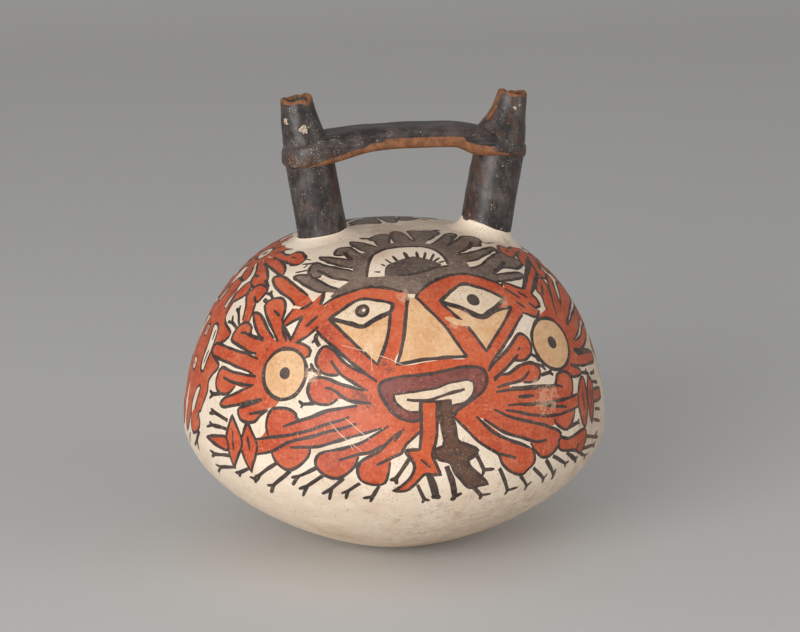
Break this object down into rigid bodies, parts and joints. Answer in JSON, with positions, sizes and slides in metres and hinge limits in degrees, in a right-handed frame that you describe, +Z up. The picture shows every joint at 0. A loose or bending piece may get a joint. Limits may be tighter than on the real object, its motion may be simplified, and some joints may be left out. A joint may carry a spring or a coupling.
{
  "type": "double spout vessel",
  "caption": "Round-bottomed earthenware bottle closed by a dome, with leaning tubular spouts joined by an arched strap bridge.",
  "frame": {"origin": "middle of the worn flat on the bottom, on the body's axis", "axes": "+Z up the body's axis, X along the pair of spouts, -Y out of the painted front"},
  "size_m": [0.166, 0.166, 0.1789],
  "materials": {
    "cream_slip": "burnished cream slip",
    "painted_slip": "burnished cream slip painted in red, buff, maroon, grey-brown and black slips",
    "black_slip": "burnished black slip, worn and speckled",
    "bridge_slip": "black slip worn to orange clay along its lower edges"
  },
  "bodies": {
    "root": {"lower_bowl": "cream_slip", "upper_dome": "painted_slip", "left_root_roll": "cream_slip", "right_root_roll": "cream_slip", "left_spout_tube": "black_slip", "right_spout_tube": "black_slip", "left_spout_tip": "black_slip", "right_spout_tip": "black_slip", "left_bridge_wrap": "black_slip", "right_bridge_wrap": "black_slip", "bridge_strap": "bridge_slip"}
  },
  "joints": []
}
